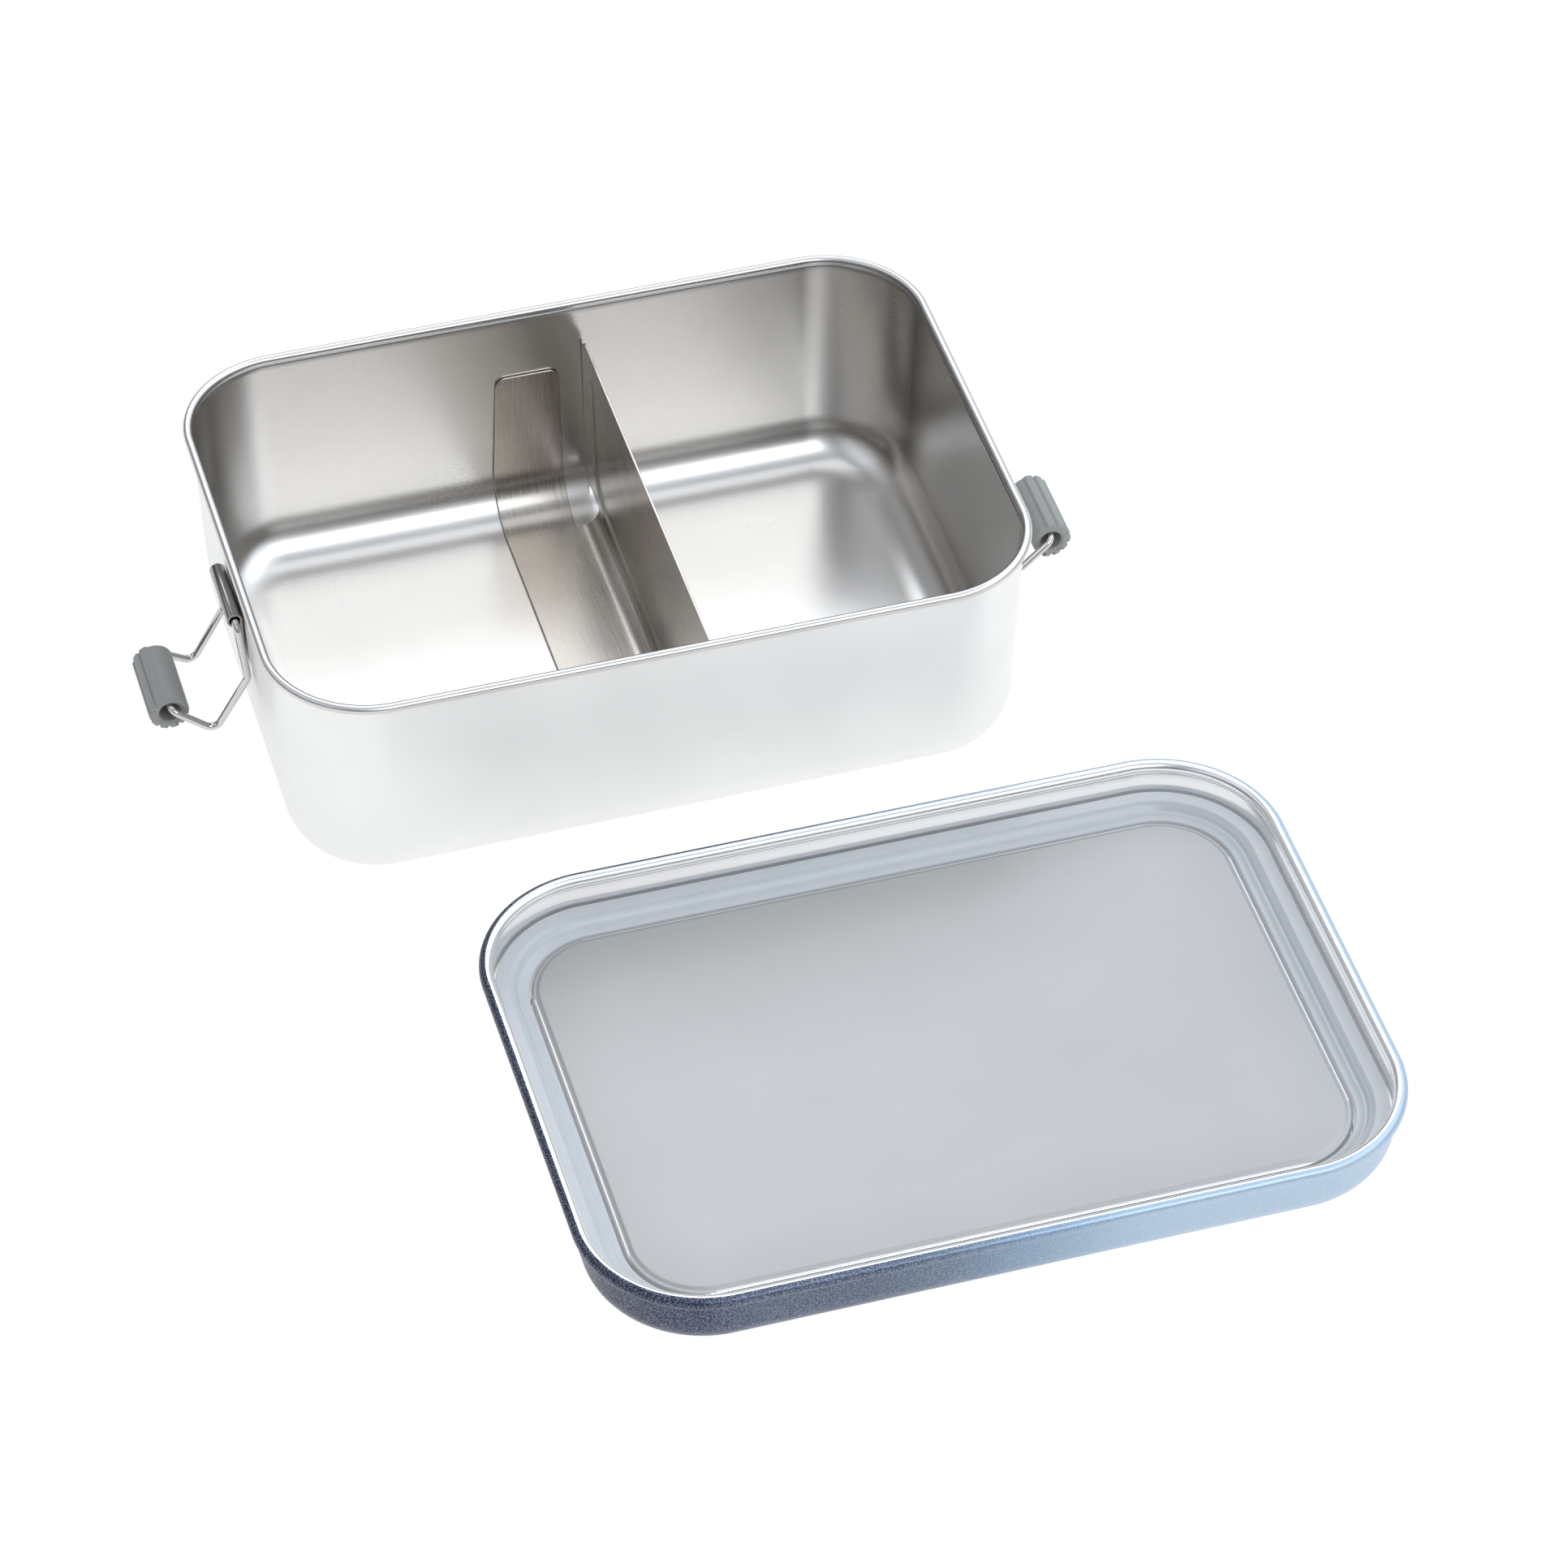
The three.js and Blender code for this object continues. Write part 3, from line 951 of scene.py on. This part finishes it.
    def build_seal(self) -> bpy.types.Object:
        """Makes the seal ring, with two shallow grooves on its slope.

        Returns:
            The piece.
        """
        rim = Rim.of("lid_shell", self.corner)
        outer = self.overhang + self.sheet + self.seal_gap
        inner = self.channel - self.seal_gap
        bottom = self.sheet + self.seal_gap
        round_under = self.edge - self.sheet - self.seal_gap
        soft = self.seal_round
        under = (outer + round_under, bottom + round_under)
        section = Section()
        section.arc(under, round_under, 180, 250, 8)
        section.to((inner, section.points[-1][1]))
        section.arc((inner - soft, self.inner_height - soft), soft, 0, 90, 3)
        foot = (inner - self.inner_flat, self.inner_height + self.inner_fall)
        crest = (outer + self.lip_width, self.lip_height)
        section.to(foot)
        for share in self.groove_shares:
            at, up = (low + (high - low) * share for low, high in zip(foot, crest))
            section.to(*((at + inset, up + rise) for inset, rise in self.groove))
        section.arc((crest[0] - soft, crest[1] - soft), soft, 60, 90, 3)
        section.arc((outer + soft, self.lip_height - soft), soft, 90, 180, 4)
        bench = Bench("seal_ring")
        bench.wrap([*section.points, section.points[0]], rim)
        bench.tidy_normals()
        return bench.take(50)

    def dress(self) -> list[bpy.types.Object]:
        """Builds the lid and the seal and gives them their finishes.

        Returns:
            The two pieces.
        """
        low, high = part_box("lid_shell")
        shell = self.build_shell()
        paint = OmbrePaint("lid_ombre_paint", low.x, high.x, OMBRE_STOPS)
        wear(shell, paint.make(), LID_STEEL.make(), PANEL_STEEL.make())
        rim = Rim.of("lid_shell", self.corner)
        reach = self.channel + self.small_round
        half_x, half_y = rim.length / 2 - reach, rim.width / 2 - reach
        panel_low = self.panel - self.step_down - self.small_round
        for face in shell.data.polygons:
            place = face.center - rim.centre
            flat = face.normal.z > 0.3 and place.z > panel_low
            inside = abs(place.x) < half_x and abs(place.y) < half_y
            if flat and inside and face.material_index != Skin.PAINT:
                face.material_index = Skin.PANEL
        settle(shell, body_of("lid_shell"), "lid_shell")
        seal = self.build_seal()
        wear(seal, SEAL_RUBBER.make())
        settle(seal, body_of("lid_seal"), "lid_seal")
        shell.visible_glossy = False
        shell.visible_shadow = False
        seal.visible_shadow = False
        return [shell, seal]


# ---------------------------------------------------------------- the divider


@dataclass
class Divider:
    """The divider, one bent sheet: an upright wall, a flange on the floor and a tab at each end."""

    sheet: float = 0.6 * MM
    half_width: float = 58.9 * MM
    bend_radius: float = 5.0 * MM
    end_round: float = 12.0 * MM
    wall_lift: float = 0.5 * MM
    top_corner: float = 3.5 * MM
    wall_slack: float = 0.5 * MM
    wall_lean: float = 1.57 * MM
    slot: float = 5.7 * MM
    tab_top: float = 40.6 * MM
    tab_taper: float = 1.6 * MM
    tab_corner: float = 2.5 * MM
    field_border: float = 6.0 * MM
    field_rise: float = 0.5 * MM
    field_slope: float = 1.1 * MM
    tab_lean: float = 1.3 * MM
    edge_round: float = 0.14 * MM

    def outline(self, face: float, side: float, low: float, high: float) -> list[Vector]:
        """Draws the upright wall's outline, with the bend's ends marked along its foot.

        Args:
            face: The X of the wall's outer face.
            side: Half the width over the tabs.
            low: The height of the flange's underside.
            high: The height of the wall's top.

        Returns:
            The outline's points.
        """
        foot = low + self.bend_radius
        centre = (side - self.wall_slack - self.end_round, low + self.wall_lift + self.end_round)
        start = math.degrees(math.asin((foot - centre[1]) / self.end_round))
        half = Section().to((side - self.end_round, foot))
        half.arc(centre, self.end_round, start, 0, 8)
        return self.mirrored(half, face, side - self.wall_slack + self.wall_lean, high)

    def field_outline(self, face: float, side: float, low: float, high: float) -> list[Vector]:
        """Draws the pressed field's outline, an even border in from the wall's own.

        Args:
            face: The X of the wall's outer face.
            side: Half the width over the tabs.
            low: The height of the flange's underside.
            high: The height of the wall's top.

        Returns:
            The outline's points.
        """
        border = self.field_border
        centre = (
            side - self.wall_slack - self.end_round - border,
            low + self.wall_lift + self.end_round + border,
        )
        half = Section().to((centre[0] / 2, centre[1] - self.end_round))
        half.arc(centre, self.end_round, -90, 0, 8)
        top_half = side - self.wall_slack + self.wall_lean - border
        return self.mirrored(half, face, top_half, high - border)

    def mirrored(self, half: Section, face: float, top_half: float, top: float) -> list[Vector]:
        """Ends one half of an outline with its top corner, and adds the other half.

        Args:
            half: The half's points so far, outwards and upwards.
            face: The X that the outline lies at.
            top_half: Half the width at the top.
            top: The height of the top.

        Returns:
            The whole outline's points.
        """
        corner = self.top_corner
        half.arc((top_half - corner, top - corner), corner, 0, 90, 6)
        outline = [Vector((face, y, z)) for y, z in half.points]
        return outline + [Vector((face, -p.y, p.z)) for p in reversed(outline)]

    def build(self) -> bpy.types.Object:
        """Makes the divider.

        Returns:
            The piece.
        """
        low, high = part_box("divider")
        face = high.x - self.field_rise
        side = self.half_width
        flat_half = side - self.end_round
        bench = Bench("divider_sheet")
        bench.loop(self.field_outline(face, side, low.z, high.z))
        bpy.ops.mesh.edge_face_add()
        bench.pick_faces(lambda place, normal: True)
        bench.face_right()
        bpy.ops.mesh.inset(thickness=self.field_slope, depth=self.field_rise)
        bpy.ops.mesh.select_mode(type="VERT")
        bench.loop(self.outline(face, side, low.z, high.z))
        bpy.ops.mesh.select_mode(type="EDGE")
        bpy.ops.mesh.select_all(action="DESELECT")
        bpy.ops.mesh.select_non_manifold()
        bpy.ops.mesh.fill(use_beauty=True)
        self.bend_flange(bench, face, flat_half, low)
        self.raise_tabs(bench, face, flat_half, low)
        bench.tidy_normals()
        bench.face_right()
        bench.modify("SOLIDIFY", thickness=self.sheet, offset=-1.0, use_even_offset=True)
        bench.soften(self.edge_round, angle=40)
        return bench.take(14)

    def bend_flange(self, bench: Bench, face: float, flat_half: float, low: Vector) -> None:
        """Bends the foot of the wall over and carries it on as the flange.

        Args:
            bench: The bench.
            face: The X of the wall's outer face.
            flat_half: Half the flange's length.
            low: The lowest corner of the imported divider.
        """
        foot = low.z + self.bend_radius
        bpy.ops.mesh.select_mode(type="VERT")
        bench.pick(lambda p: abs(p.z - foot) < NEAR and abs(p.y) < flat_half + NEAR)
        centre = Vector((face - self.bend_radius, 0, foot))
        bench.bend(centre, Vector((0, 1, 0)), QUARTER, 10)
        slot_edge = face - self.sheet - self.slot
        bench.pull(Vector((slot_edge - (face - self.bend_radius), 0, 0)))
        bench.pull(Vector((low.x - slot_edge, 0, 0)))

    def raise_tabs(self, bench: Bench, face: float, flat_half: float, low: Vector) -> None:
        """Turns a tab up from each end of the flange.

        Args:
            bench: The bench.
            face: The X of the wall's outer face.
            flat_half: Half the flange's length.
            low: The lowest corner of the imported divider.
        """
        slot_edge = face - self.sheet - self.slot
        for side in (1, -1):
            bpy.ops.mesh.select_mode(type="VERT")
            bench.pick(
                lambda p, side=side: abs(p.z - low.z) < NEAR
                and abs(p.y * side - flat_half) < NEAR
                and p.x < slot_edge + NEAR
            )
            centre = Vector((0, side * flat_half, low.z + self.end_round))
            bench.bend(centre, Vector((1, 0, 0)), side * QUARTER, 12)
            bench.pull(Vector((0, side * self.tab_lean, self.tab_top - low.z - self.end_round)))
            top = self.tab_top - NEAR
            bench.pick(lambda p, side=side: p.z > top and p.y * side > 0 and p.x < low.x + NEAR)
            bench.move(x=self.tab_taper)
            bench.pick(
                lambda p, side=side: p.z > top and p.y * side > flat_half and p.x < slot_edge + NEAR
            )
            bpy.ops.mesh.bevel(offset=self.tab_corner, segments=6, affect="VERTICES")

    def dress(self) -> bpy.types.Object:
        """Builds the divider and gives it its brushed steel, darkened with painted shade.

        Returns:
            The piece.
        """
        piece = self.build()
        wear(piece, DIVIDER_STEEL_WITH_PAINTED_SHADE.make())
        settle(piece, body_of("divider"), "divider")
        return piece


# ---------------------------------------------------------------- the latches


class Side(Enum):
    """Which end of the box a latch is on."""

    LEFT = -1
    RIGHT = 1

    @property
    def word(self) -> str:
        """The side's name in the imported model."""
        return self.name.lower()


@dataclass
class Latch:
    """One latch: a bracket with a rolled barrel, a wire bail and a silicone grip."""

    side: Side
    grip_turn: float
    plate: float = 0.6 * MM
    barrel_outer: float = 1.8 * MM
    bore: float = 1.28 * MM
    seam: float = 195.0
    mouth: float = -135.0
    plate_round: float = 0.1 * MM
    wire: float = 0.9 * MM
    wire_bend: float = 2.4 * MM
    wire_gap: float = 0.4 * MM
    shoulder: tuple[float, float, float] = (-1.4 * MM, 14.9 * MM, 1.3 * MM)
    elbow: tuple[float, float, float] = (7.0 * MM, 29.4 * MM, 0.9 * MM)
    grip_bar: tuple[float, float, float] = (16.6 * MM, 22.4 * MM, 0.95 * MM)
    shaft_play: float = 1.2 * MM
    grip_outer: float = 4.95 * MM
    grip_bore: float = 2.6 * MM
    grip_rest: float = 0.1 * MM
    grip_groove: float = 0.6 * MM
    grip_chamfer: float = 0.45 * MM
    grip_inset: float = 0.6 * MM
    fine_round: float = 0.12 * MM
    ribs: int = 7
    rib_pitch: float = 32.0
    rib_valley: Point = (1.0, 4.0)
    rib_crest: Point = (7.0, 27.0)
    plain_edge: float = 3.0
    plain_rise: float = 0.1 * MM

    def node(self, part: str) -> str:
        """Returns the name of one of this latch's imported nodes."""
        return f"{self.side.word}_{part}"

    def half_length(self, part: str) -> float:
        """Returns half the length of one of this latch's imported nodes, along the barrel."""
        low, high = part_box(self.node(part))
        return (high.y - low.y) / 2

    def pivot(self) -> Vector:
        """Returns the middle of the barrel."""
        low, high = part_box(self.node("bracket"))
        outermost = high.x if self.side is Side.RIGHT else low.x
        out = outermost - self.side.value * self.barrel_outer
        return Vector((out, 0, high.z - self.barrel_outer))

    def at(self, out: float, up: float, along: float) -> Vector:
        """Returns a point given from the pivot: outwards, upwards and along the barrel."""
        return self.pivot() + Vector((self.side.value * out, along, up))

    def build_bracket(self) -> bpy.types.Object:
        """Makes the plate on the wall, rolled at its top into the barrel.

        Returns:
            The piece.
        """
        low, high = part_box(self.node("bracket"))
        foot = low.z - self.pivot().z
        half = self.half_length("bracket")
        wall_foot = min(abs(low.x), abs(high.x)) - abs(self.pivot().x)
        plate_face = self.plate - self.barrel_outer
        section = Section()
        section.to((wall_foot, foot), (wall_foot + self.plate, foot))
        section.to((plate_face, math.tan(math.radians(self.seam)) * plate_face))
        section.arc((0, 0), self.bore, self.seam, self.mouth, 36)
        section.arc((0, 0), self.barrel_outer, self.mouth, 180, 40)
        bench = Bench(f"{self.side.word}_hinge_bracket")
        bench.loop([self.at(out, up, -half) for out, up in section.points])
        bpy.ops.mesh.edge_face_add()
        bench.pull(Vector((0, 2 * half, 0)))
        bench.tidy_normals()
        bench.soften(self.plate_round, angle=40)
        return bench.take(30)

    def bail_corners(self) -> list[Vector]:
        """Returns the corners of the bail's wire, from one end inside the barrel to the other."""
        shaft = self.half_length("bracket") + self.wire + self.shaft_play
        halves = [
            self.at(0, 0, self.wire_gap / 2),
            self.at(0, 0, shaft),
            self.at(self.shoulder[0], -self.shoulder[1], shaft + self.shoulder[2]),
            self.at(self.elbow[0], -self.elbow[1], shaft + self.elbow[2]),
            self.at(
                self.grip_bar[0], -self.grip_bar[1], self.half_length("grip") + self.grip_bar[2]
            ),
        ]
        return halves + [Vector((p.x, -p.y, p.z)) for p in reversed(halves)]

    def build_bail(self) -> bpy.types.Object:
        """Bends the bail from one length of round wire.

        Returns:
            The piece.
        """
        corners = self.bail_corners()
        bench = Bench(f"{self.side.word}_wire_bail")
        heading = (corners[1] - corners[0]).normalized()
        bpy.ops.mesh.primitive_circle_add(
            vertices=24, radius=self.wire, location=corners[0],
            rotation=heading.to_track_quat("Z", "Y").to_euler(),
        )
        here = corners[0]
        for corner, after in zip(corners[1:-1], corners[2:]):
            turned = (after - corner).normalized()
            turn = heading.angle(turned)
            reach = self.wire_bend * math.tan(turn / 2)
            bend_start = corner - heading * reach
            bench.pull(bend_start - here)
            inward = (turned - heading * heading.dot(turned)).normalized()
            axis = heading.cross(turned).normalized()
            bench.bend(bend_start + inward * self.wire_bend, axis, turn, 10)
            here = corner + turned * reach
            heading = turned
        bench.pull(corners[-1] - here)
        bench.close()
        bench.tidy_normals()
        bench.soften(self.fine_round, angle=60)
        return bench.take(50)

    def build_grip(self) -> bpy.types.Object:
        """Makes the grip, with broad ribs over most of its outside and chamfered ends.

        Returns:
            The piece.
        """
        groove = self.grip_outer - self.grip_groove
        half = self.half_length("grip") - self.grip_chamfer
        ribbed = self.ribs * self.rib_pitch
        section = Section()
        for i in range(self.ribs):
            start = i * self.rib_pitch - ribbed / 2 + self.grip_turn
            for radius, (first, last), steps in (
                (groove, self.rib_valley, 1), (self.grip_outer, self.rib_crest, 5)
            ):
                section.arc((0, 0), radius, start + first, start + last, steps)
        plain = ribbed / 2 + self.grip_turn + self.plain_edge
        plain_end = plain + 360 - ribbed - 2 * self.plain_edge
        section.arc((0, 0), groove + self.plain_rise, plain, plain_end, 20)
        bore = Section().arc((0, 0), self.grip_bore, 0, 350, 35)
        bench = Bench(f"{self.side.word}_grip_sleeve")
        middle = self.grip_middle()
        for outline in (section, bore):
            bench.loop(
                [middle + Vector((self.side.value * x, -half, z)) for x, z in outline.points]
            )
        bpy.ops.mesh.select_all(action="SELECT")
        bpy.ops.mesh.bridge_edge_loops()
        bench.pick_faces(lambda place, normal: True)
        bench.pull(Vector((0, 2 * half, 0)))
        bench.tidy_normals()
        bench.pick_faces(lambda place, normal: abs(normal.y) > 0.9)
        bpy.ops.mesh.inset(thickness=self.grip_inset, depth=self.grip_chamfer)
        bench.soften(self.fine_round, angle=30)
        return bench.take(40)

    def grip_middle(self) -> Vector:
        """Returns the grip's middle, which hangs under the bail's bar."""
        hang = self.grip_bore - self.wire - self.grip_rest
        return self.at(self.grip_bar[0], -self.grip_bar[1] - hang, 0)

    def dress(self) -> list[bpy.types.Object]:
        """Builds the latch and gives it its finishes.

        Returns:
            The three pieces.
        """
        made = (
            (self.build_bracket(), BRACKET_STEEL, "bracket", "bracket_steel"),
            (self.build_bail(), WIRE_STEEL, "bail", "wire_steel"),
            (self.build_grip(), GRIP_RUBBER, "grip", "grip_silicone"),
        )
        for piece, finish, part, slot in made:
            wear(piece, finish.make())
            settle(piece, body_of(self.node(part)), self.node(part))
        return [piece for piece, _, _, _ in made]


# ---------------------------------------------------------------- the studio


@dataclass
class Softbox:
    """One large soft light."""

    name: str
    place: tuple[float, float, float]
    size: tuple[float, float]
    power: float
    aim: tuple[float, float, float] = (0.02, -0.05, 0.02)
    tint: Colour = DAYLIGHT

    def hang(self) -> None:
        """Adds the light."""
        data = bpy.data.lights.new(self.name, "AREA")
        data.shape = "RECTANGLE"
        data.size, data.size_y = self.size
        data.energy = self.power
        data.color = self.tint
        lamp = bpy.data.objects.new(self.name, data)
        bpy.context.scene.collection.objects.link(lamp)
        lamp.location = self.place
        lamp.rotation_euler = (Vector(self.aim) - lamp.location).to_track_quat("-Z", "Y").to_euler()


@dataclass
class Studio:
    """The floor, the light and the camera."""

    target: tuple[float, float, float] = (28.134 * MM, -51.906 * MM, 0.0)
    distance: float = 1.4735
    azimuth: float = 16.339
    elevation: float = 43.712
    roll: float = 0.075
    lens: float = 146.06
    floor_size: float = 30.0
    tint: Colour = DAYLIGHT
    by_height: tuple[Point, ...] = (
        (0.0, 0.25), (0.2, 0.32), (0.35, 0.5), (0.6, 0.95), (0.82, 1.1), (0.97, 0.45), (1.0, 0.4)
    )
    by_side: tuple[Point, ...] = (
        (0.0, 0.5), (0.16, 1.1), (0.3, 0.4), (0.42, 1.0), (0.66, 1.0), (0.84, 2.2), (1.0, 1.4)
    )
    softboxes: tuple[Softbox, ...] = (
        Softbox("overhead_softbox", (0.0, 0.15, 1.6), (1.2, 0.9), 3.0),
        Softbox("front_softbox", (0.45, -1.75, 1.7), (1.4, 1.0), 9.5),
        Softbox("rear_softbox", (0.2, 1.75, 1.7), (1.6, 1.0), 7.5),
    )

    def set_floor(self) -> None:
        """Lays the floor just under the object."""
        bpy.ops.object.select_all(action="DESELECT")
        bpy.ops.mesh.primitive_plane_add(size=self.floor_size, location=(0, 0, 0))
        floor = bpy.context.active_object
        floor.name = "studio_floor"
        bpy.ops.object.mode_set(mode="EDIT")
        bpy.ops.mesh.select_all(action="SELECT")
        bpy.ops.mesh.subdivide(number_cuts=3)
        bpy.ops.object.mode_set(mode="OBJECT")
        wear(floor, StudioFloor().make())

    def set_sky(self) -> None:
        """Makes the pale room around the object, brighter overhead and behind it."""
        world = bpy.data.worlds.new("pale_room")
        bpy.context.scene.world = world
        recipe = Recipe(world)
        direction = recipe.node("ShaderNodeTexCoord", output="Generated")
        x, _, z = recipe.parts(direction)
        shades = []
        for place, levels in ((z, self.by_height), (x * 0.5 + 0.5, self.by_side)):
            stops = [(at, tuple(light * part for part in self.tint)) for at, light in levels]
            shades.append(recipe.node("ShaderNodeValToRGB", {"stops": stops}, {0: place}))
        recipe.light_up(
            recipe.node(
                "ShaderNodeMix",
                {"data_type": "RGBA", "blend_type": "MULTIPLY"},
                {0: 1.0, 6: shades[0], 7: shades[1]},
                output=2,
            )
        )

    def set_camera(self) -> None:
        """Places the camera."""
        turn, rise = math.radians(self.azimuth), math.radians(self.elevation)
        forward = Vector(
            (math.sin(turn) * math.cos(rise), math.cos(turn) * math.cos(rise), -math.sin(rise))
        )
        data = bpy.data.cameras.new("camera")
        data.sensor_fit = "HORIZONTAL"
        data.sensor_width = 36.0
        data.lens = self.lens
        data.clip_start = 0.01
        camera = bpy.data.objects.new("camera", data)
        bpy.context.scene.collection.objects.link(camera)
        camera.location = Vector(self.target) - forward * self.distance
        facing = forward.to_track_quat("-Z", "Y").to_matrix()
        camera.rotation_euler = facing.to_euler()
        camera.rotation_euler.rotate_axis("Z", math.radians(self.roll))
        bpy.context.scene.camera = camera

    def set_up(self) -> None:
        """Sets up the whole studio."""
        self.set_camera()
        self.set_floor()
        self.set_sky()
        for softbox in self.softboxes:
            softbox.hang()
        bpy.context.scene.view_settings.view_transform = "Standard"
        log.info("studio: %d softboxes", len(self.softboxes))


# ---------------------------------------------------------------- the whole object


def main() -> None:
    """Builds every piece in order and reports it."""
    logging.basicConfig(level=logging.INFO, format="%(name)s %(message)s")
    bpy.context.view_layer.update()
    Studio().set_up()
    LunchBox().dress()
    Divider().dress()
    Lid().dress()
    Latch(Side.LEFT, grip_turn=-38).dress()
    Latch(Side.RIGHT, grip_turn=-8).dress()


if __name__ == "__main__":
    main()
